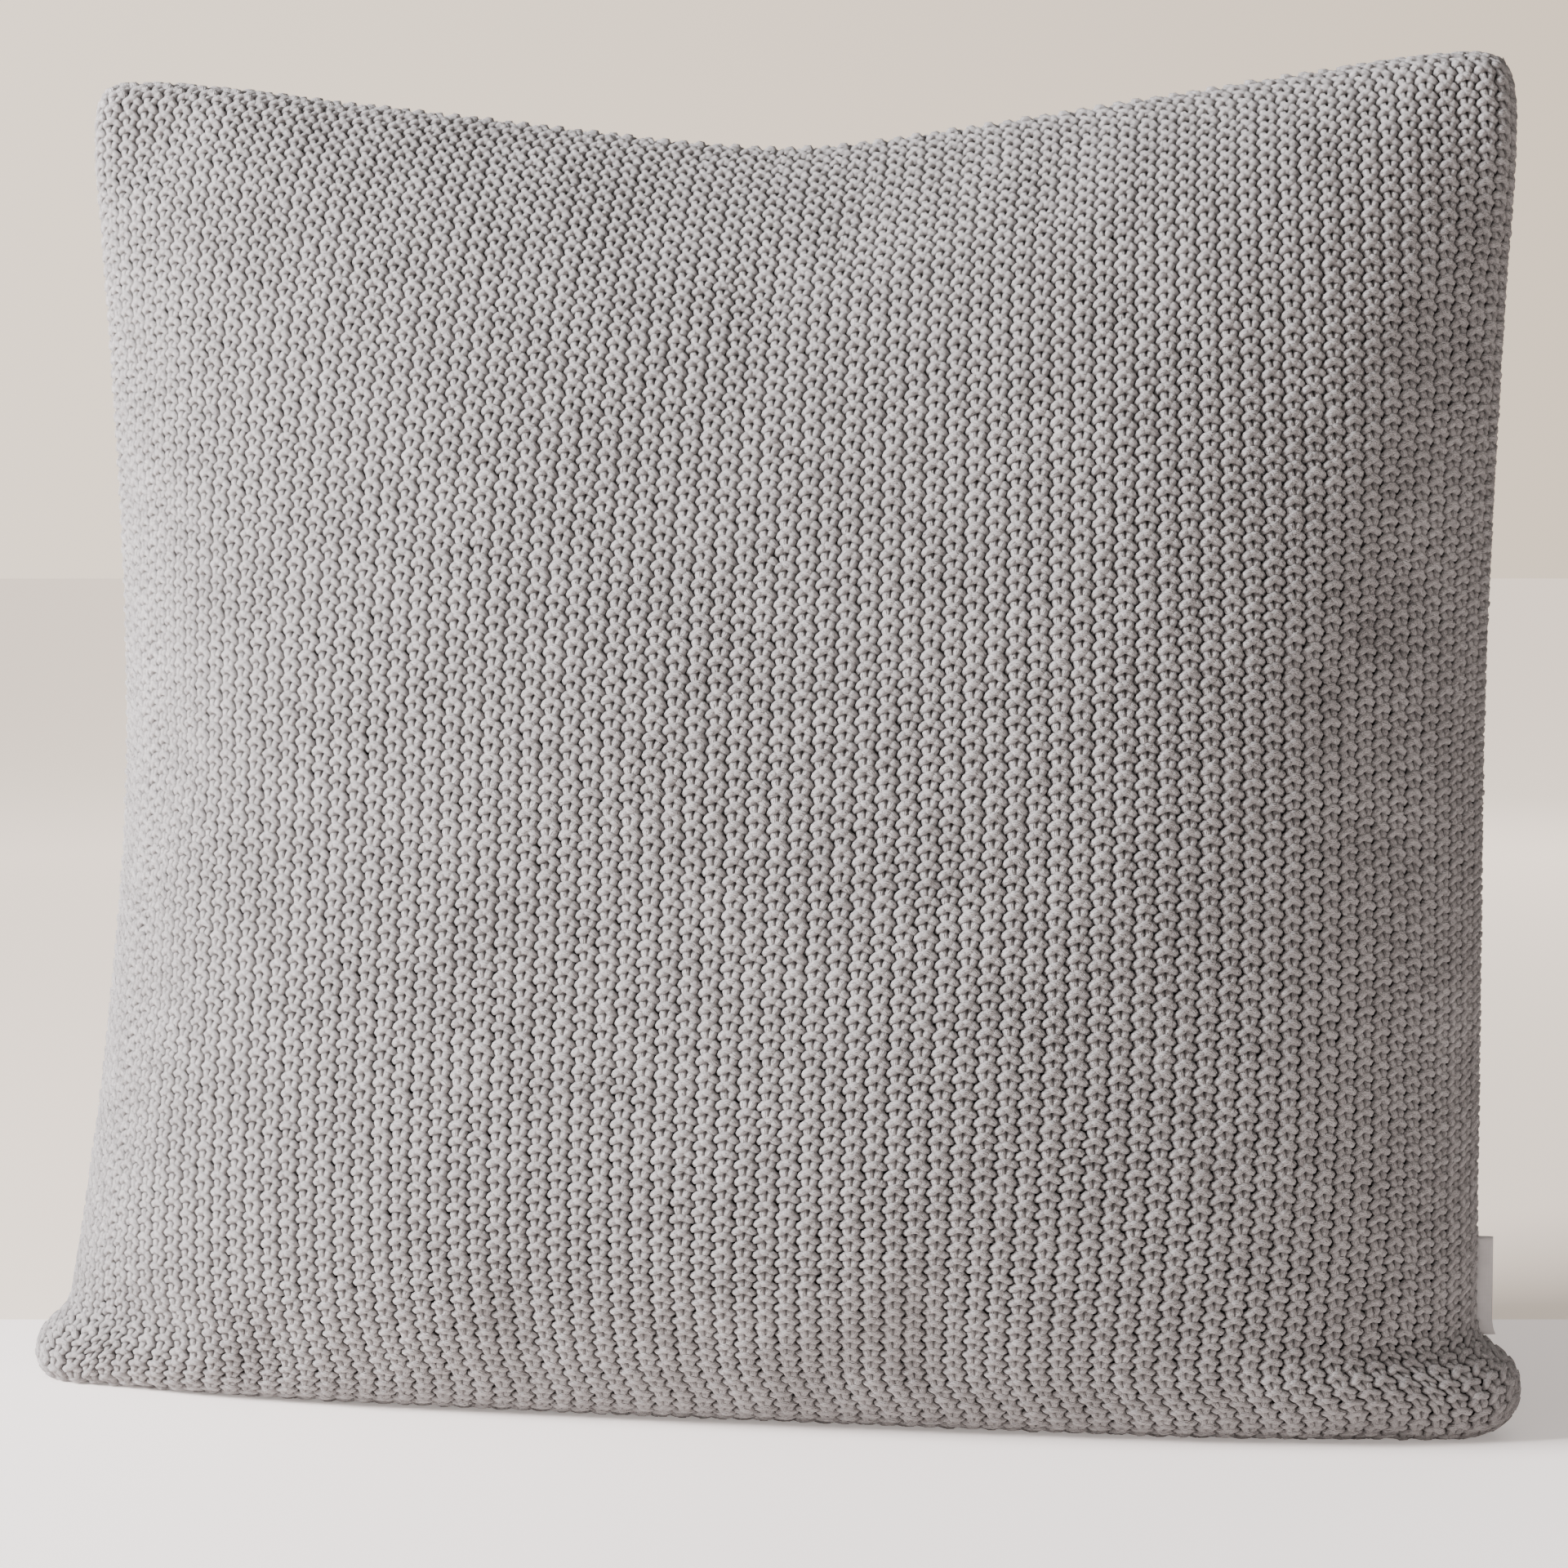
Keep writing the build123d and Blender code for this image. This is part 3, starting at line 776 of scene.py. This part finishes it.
def yarn_material(name, base, dark):
    """Soft plied cotton: twisted strands, loose fibres, a little tone from stitch to stitch, and
    painted shade low in the knit.
    """
    n = Nodes(name)
    yarn = n.node("ShaderNodeUVMap", {"uv_map": "yarn"}).outputs["UV"]
    tone = n.node("ShaderNodeAttribute", {"attribute_name": "tone"}).outputs["Fac"]
    # height says how much painted shade the yarn gets: 0 is full painted shade, 1 is none.
    height = n.node("ShaderNodeAttribute", {"attribute_name": "height"}).outputs["Fac"]
    split = n.node("ShaderNodeSeparateXYZ", Vector=yarn)
    along, around = split.outputs[0], split.outputs[1]
    twist = n.maths("ADD", n.maths("MULTIPLY", around, 16.0), n.maths("MULTIPLY", along, 800.0))
    wobble = n.maths("MULTIPLY", n.noise(n.place, 1300.0, 2.0), 1.6)
    strand = n.maths("SINE", n.maths("MULTIPLY", n.maths("ADD", twist, wobble), 2 * math.pi))
    fibre = n.noise(n.place, 3600.0, 3.0, 0.65)
    mottle = n.noise(n.place, 26.0, 3.0)
    shade = n.maths("MULTIPLY", n.maths("SUBTRACT", tone, 0.5), 0.22)
    shade = n.maths("ADD", shade, n.maths("MULTIPLY", n.maths("SUBTRACT", mottle, 0.5), 0.35))
    shade = n.maths("ADD", shade, n.maths("MULTIPLY", n.maths("SUBTRACT", fibre, 0.5), 1.5))
    shade = n.maths("ADD", shade, n.maths("MULTIPLY", strand, -0.12))
    shade = n.maths("ADD", shade, 0.42)
    # Painted shade: a near-black yarn colour for yarn low in the knit, as if in shadow.
    painted_shade = tuple(c * 0.12 for c in dark[:3]) + (1.0,)
    worn = n.mix(shade, base, dark)
    n.feed(n.shader.inputs["Base Color"], n.mix(height, painted_shade, worn))
    relief = n.maths("ADD", n.maths("MULTIPLY", strand, 0.5), n.maths("MULTIPLY", fibre, 0.5))
    n.feed(n.shader.inputs["Normal"], n.bump(relief, 0.16 * MM))
    n.shader.inputs["Roughness"].default_value = 0.92
    n.shader.inputs["Specular IOR Level"].default_value = 0.18
    n.shader.inputs["Sheen Weight"].default_value = 0.12
    n.shader.inputs["Sheen Roughness"].default_value = 0.5
    return n.material


def plain_cloth(name, base, dark, threads):
    """A plain weave from two crossing waves; threads is threads per metre."""
    n = Nodes(name)
    split = n.node("ShaderNodeSeparateXYZ", Vector=n.place)
    warp = n.maths("SINE", n.maths("MULTIPLY", split.outputs[0], threads * math.pi))
    weft = n.maths("SINE", n.maths("MULTIPLY", split.outputs[2], threads * math.pi))
    weave = n.maths("MULTIPLY", warp, weft)
    mottle = n.noise(n.place, 60.0, 3.0)
    shade = n.maths("ADD", n.maths("MULTIPLY", weave, 0.25), mottle)
    n.feed(n.shader.inputs["Base Color"], n.mix(shade, base, dark))
    n.feed(n.shader.inputs["Normal"], n.bump(weave, 0.1 * MM, 0.6))
    n.shader.inputs["Roughness"].default_value = 0.85
    return n.material


def satin(name, base, dark):
    """Woven ribbon: close fine ribs with a soft shine."""
    n = Nodes(name)
    split = n.node("ShaderNodeSeparateXYZ", Vector=n.place)
    ribs = n.maths("SINE", n.maths("MULTIPLY", split.outputs[2], 2 * math.pi / (0.28 * MM)))
    threads = n.maths("SINE", n.maths("MULTIPLY", split.outputs[0], 2 * math.pi / (0.5 * MM)))
    weave = n.maths("ADD", n.maths("MULTIPLY", ribs, 0.5), n.maths("MULTIPLY", threads, 0.25))
    shade = n.maths("ADD", n.maths("MULTIPLY", weave, 0.25), n.noise(n.place, 220.0, 3.0))
    n.feed(n.shader.inputs["Base Color"], n.mix(shade, base, dark))
    n.feed(n.shader.inputs["Normal"], n.bump(weave, 0.05 * MM, 0.7))
    n.shader.inputs["Roughness"].default_value = 0.42
    n.shader.inputs["Sheen Weight"].default_value = 0.25
    n.shader.inputs["Sheen Roughness"].default_value = 0.4
    return n.material


def tape_cloth(name, base, dark):
    """Zipper tape: a close herringbone."""
    n = Nodes(name)
    split = n.node("ShaderNodeSeparateXYZ", Vector=n.place)
    zigzag = n.maths("PINGPONG", split.outputs[1], 1.1 * MM)
    slope = n.maths("ADD", split.outputs[0], zigzag)
    twill = n.maths("SINE", n.maths("MULTIPLY", slope, 2 * math.pi / (0.6 * MM)))
    shade = n.maths("ADD", n.maths("MULTIPLY", twill, 0.3), n.noise(n.place, 400.0, 3.0))
    n.feed(n.shader.inputs["Base Color"], n.mix(shade, base, dark))
    n.feed(n.shader.inputs["Normal"], n.bump(twill, 0.08 * MM, 0.8))
    n.shader.inputs["Roughness"].default_value = 0.7
    return n.material


def hard_surface(name, base, dark, metallic, roughness):
    """Moulded plastic or plated metal with faint marks and uneven polish."""
    n = Nodes(name)
    wear = n.noise(n.place, 900.0, 4.0, 0.6)
    n.feed(n.shader.inputs["Base Color"], n.mix(wear, base, dark))
    polish = n.maths("ADD", n.maths("MULTIPLY", wear, 0.25), roughness - 0.12)
    n.feed(n.shader.inputs["Roughness"], polish)
    n.feed(n.shader.inputs["Normal"], n.bump(n.noise(n.place, 2500.0, 3.0), 0.02 * MM, 0.5))
    n.shader.inputs["Metallic"].default_value = metallic
    return n.material


def thread(name, base, dark):
    """Fine twisted thread that runs along x."""
    n = Nodes(name)
    split = n.node("ShaderNodeSeparateXYZ", Vector=n.place)
    slope = n.maths("ADD", split.outputs[0], n.maths("ADD", split.outputs[1], split.outputs[2]))
    twist = n.maths("SINE", n.maths("MULTIPLY", slope, 2 * math.pi / (0.5 * MM)))
    shade = n.maths("ADD", n.maths("MULTIPLY", twist, 0.3), n.noise(n.place, 900.0, 3.0))
    n.feed(n.shader.inputs["Base Color"], n.mix(shade, base, dark))
    n.feed(n.shader.inputs["Normal"], n.bump(twist, 0.06 * MM, 0.8))
    n.shader.inputs["Roughness"].default_value = 0.6
    return n.material


def fibre_fill(name):
    """Loose white polyester fibre."""
    n = Nodes(name)
    tufts = n.noise(n.place, 90.0, 6.0, 0.75)
    shade = n.mix(tufts, colour(248, 247, 244), colour(222, 220, 214))
    n.feed(n.shader.inputs["Base Color"], shade)
    n.feed(n.shader.inputs["Normal"], n.bump(tufts, 1.5 * MM, 0.8))
    n.shader.inputs["Roughness"].default_value = 0.95
    n.shader.inputs["Sheen Weight"].default_value = 0.3
    return n.material


# ----------------------------------------------------------------------------------- scene
def camera_and_light(box):
    """The camera of the reference view, and area lights turned to the pillow's middle."""
    low, high = Vector(box[0]), Vector(box[1])
    middle = (low + high) / 2
    cam = bpy.data.cameras.new("camera")
    cam.sensor_width = SENSOR
    cam.lens = LENS
    eye = bpy.data.objects.new("camera", cam)
    azimuth, down = math.radians(EYE_AZIMUTH), math.radians(EYE_DOWN)
    eye.location = (
        middle.x + EYE_DISTANCE * math.sin(azimuth),
        middle.y - EYE_DISTANCE * math.cos(azimuth),
        EYE_HEIGHT,
    )
    eye.rotation_euler = (math.radians(90) - down, 0, azimuth)
    bpy.context.scene.collection.objects.link(eye)
    bpy.context.scene.camera = eye

    for name, place, size, power, tint in LIGHTS:
        light = bpy.data.lights.new(name, "AREA")
        light.shape = "RECTANGLE"
        light.size, light.size_y = size
        light.energy = power
        light.color = tint
        lamp = bpy.data.objects.new(name, light)
        lamp.location = place
        lamp.rotation_euler = (middle - Vector(place)).to_track_quat("-Z", "Y").to_euler()
        bpy.context.scene.collection.objects.link(lamp)


def studio():
    """Pale surroundings, lighter on the left. What is seen is brighter than the light it gives."""
    world = bpy.data.worlds.new("studio")
    world.use_nodes = True
    tree = world.node_tree
    seen = tree.nodes["Background"]
    lit = tree.nodes.new("ShaderNodeBackground")
    lit.inputs[0].default_value = colour(226, 219, 210)
    lit.inputs[1].default_value = WORLD_LIGHT
    direction = tree.nodes.new("ShaderNodeTexCoord").outputs["Generated"]
    split = tree.nodes.new("ShaderNodeSeparateXYZ")
    tree.links.new(direction, split.inputs[0])
    across = tree.nodes.new("ShaderNodeMapRange")
    tree.links.new(split.outputs[0], across.inputs[0])
    across.inputs[1].default_value = -0.4
    across.inputs[2].default_value = 0.0
    tint = tree.nodes.new("ShaderNodeMix")
    tint.data_type = "RGBA"
    tree.links.new(across.outputs[0], tint.inputs[0])
    tint.inputs[6].default_value = colour(222, 206, 188)
    tint.inputs[7].default_value = colour(188, 172, 154)
    tree.links.new(tint.outputs[2], seen.inputs[0])
    seen.inputs[1].default_value = WORLD_SEEN
    blend = tree.nodes.new("ShaderNodeMixShader")
    tree.links.new(tree.nodes.new("ShaderNodeLightPath").outputs["Is Camera Ray"], blend.inputs[0])
    tree.links.new(lit.outputs[0], blend.inputs[1])
    tree.links.new(seen.outputs[0], blend.inputs[2])
    tree.links.new(blend.outputs[0], tree.nodes["World Output"].inputs[0])
    bpy.context.scene.world = world


def show_from_above(n):
    """Lets a view from below the floor see the underside of the pillow, where the zipper is."""
    blend = n.tree.nodes.new("ShaderNodeMixShader")
    n.feed(blend.inputs[0], n.node("ShaderNodeNewGeometry").outputs["Backfacing"])
    n.feed(blend.inputs[1], n.shader.outputs[0])
    n.feed(blend.inputs[2], n.node("ShaderNodeBsdfTransparent").outputs[0])
    n.feed(n.tree.nodes["Material Output"].inputs[0], blend.outputs[0])


def floor():
    """A pale floor, and the warmer ground beyond it, split square to the camera's view. Both look
    brighter than the light that they give back."""
    azimuth = math.radians(EYE_AZIMUTH)
    right = Vector((math.cos(azimuth), math.sin(azimuth), 0))
    away = Vector((-math.sin(azimuth), math.cos(azimuth), 0))
    for name, near, far, shade in (
        ("floor", -FLOOR_REACH, FLOOR_EDGE, colour(252, 242, 237)),
        ("ground_beyond", FLOOR_EDGE, GROUND_REACH, colour(232, 216, 200)),
    ):
        reach = FLOOR_REACH + far
        ends = ((near, -reach), (near, reach), (far, reach), (far, -reach))
        corners = [away * d + right * r for d, r in ends]
        mesh = bpy.data.meshes.new(name)
        mesh.from_pydata(corners, [], [(0, 1, 2, 3)])
        n = Nodes(name)
        darker = tuple(c * 0.97 for c in shade[:3]) + (1.0,)
        n.feed(n.shader.inputs["Base Color"], n.mix(n.noise(n.place, 3.0, 3.0), shade, darker))
        n.shader.inputs["Roughness"].default_value = 0.8
        n.shader.inputs["Emission Color"].default_value = shade
        length = n.node("ShaderNodeVectorMath", {"operation": "LENGTH"}, Vector=n.place)
        spread = n.node("ShaderNodeMapRange", Value=length.outputs["Value"], From_Min=GLOW_RANGE[0],
                        From_Max=GLOW_RANGE[1], To_Min=FLOOR_GLOW, To_Max=FAR_GLOW[name])
        seen = n.node("ShaderNodeLightPath").outputs["Is Camera Ray"]
        share = n.maths("ADD", n.maths("MULTIPLY", seen, 1 - GLOW_GIVEN), GLOW_GIVEN)
        n.feed(n.shader.inputs["Emission Strength"], n.maths("MULTIPLY", spread.outputs[0], share))
        show_from_above(n)
        new_piece(name, mesh, n.material)


CARRIED = {
    "zipper_tape": ["zipper_tape_front", "zipper_tape_back"],
    "zipper_teeth": ["zipper_teeth_front", "zipper_teeth_back"],
    "zipper_metal": ["zipper_top_stops", "zipper_bottom_stop", "zipper_slider", "zipper_pull"],
    "sewing_thread": ["zipper_thread_front", "zipper_thread_back"],
}


def finish_zipper():
    """The zipper keeps its CAD shapes, and gets better materials."""
    worn = colour(150, 147, 147)
    looks = {
        "zipper_tape": tape_cloth("tape_cloth", colour(168, 164, 163), colour(146, 142, 142)),
        "zipper_teeth": hard_surface("teeth_nylon", colour(176, 173, 172), worn, 0.0, 0.42),
        "zipper_metal": hard_surface(
            "slider_metal", colour(196, 195, 193), colour(160, 159, 158), 1.0, 0.34),
        "sewing_thread": thread("tape_thread", colour(186, 182, 181), worn),
    }
    for slot, nodes in CARRIED.items():
        for node in nodes:
            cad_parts[node].material_slots[0].material = looks[slot]


def cover_pieces(front, back):
    """The knitted cover: two panels, each with its inside, the seams and both labels."""
    knit = yarn_material("knit_yarn", colour(194, 189, 188), colour(104, 99, 98))
    # The sheet under each panel stands for the knit's back loops, coloured dark as painted shade in
    # the gaps between the front loops.
    ground = plain_cloth("knit_backing_painted_shadow", colour(46, 43, 42), colour(32, 30, 29), 900)
    for name, surface in (("front", front), ("back", back)):
        panel = knit_panel(name + "_knit", surface, knit)
        inside = sheet_layer(name + "_knit_inside", layer_grid(surface, SHADE_BACKING_DEPTH), ground)
        for piece in (panel, inside):
            own(piece, "knit", name + "_panel")
    edges = seam_edges(front, back)
    for node, (path, outward) in edges.items():
        own(seam_cord(node + "_yarn", path, outward, SEAM_RADIUS, knit), "seam_yarn", node)
    ribbon = satin("label_satin", colour(196, 192, 191), colour(166, 161, 160))
    own(folded_label(edges["right_seam"], ribbon), "label_satin", "side_label")
    own(care_label(back, satin("care_satin", colour(238, 237, 234), colour(214, 212, 208))),
        "care_label_satin", "care_label")


def insert_pieces(front, back):
    """The pillow insert: its two panels, its seams and its filling."""
    cotton = plain_cloth("insert_cotton", colour(232, 229, 222), colour(214, 210, 202), 1400)
    sewn = thread("insert_thread", colour(236, 234, 228), colour(206, 202, 194))
    cloth = insert_grids(front, back, INSERT_DEPTH)
    own(sheet_layer("insert_front_cloth", cloth[0], cotton), "insert_cotton", "insert_front_panel")
    back_cloth = sheet_layer("insert_back_cloth", cloth[1][:, ::-1], cotton)
    own(back_cloth, "insert_cotton", "insert_back_panel")
    inner = insert_grids(front, back, FILL_DEPTH)
    filling = closed_layer("insert_filling", inner, fibre_fill("fibre"))
    own(filling, "fibre_fill", "insert_fill")
    grid = cloth[0]
    side = np.concatenate([grid[:, 0], grid[-1, 1:], grid[-2::-1, -1]])
    middle = grid.reshape(-1, 3).mean(axis=0)
    for name, path in (("insert_side", side), ("insert_closing", grid[0])):
        cord = seam_cord(name + "_thread", path, path - middle, THREAD_RADIUS, sewn)
        own(cord, "insert_thread", name + "_seam")


def own(piece, slot, *nodes):
    """Hides the CAD nodes that a piece stands for, and attaches the piece to the cover's body. slot
    is not used.
    """
    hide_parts(*nodes)
    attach(piece, "cover")


def main():
    front_grid, back_grid = settled(filled_panels())
    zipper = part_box("zipper_tape_front")[1][1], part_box("zipper_tape_back")[0][1]
    for grid in (front_grid, back_grid):
        grid[..., 1] += sum(zipper) / 2
    front, back = Surface(front_grid), Surface(back_grid[:, ::-1])
    cover_pieces(front, back)
    insert_pieces(front, back)
    finish_zipper()
    floor()
    studio()
    camera_and_light(CAD_BOX)


main()
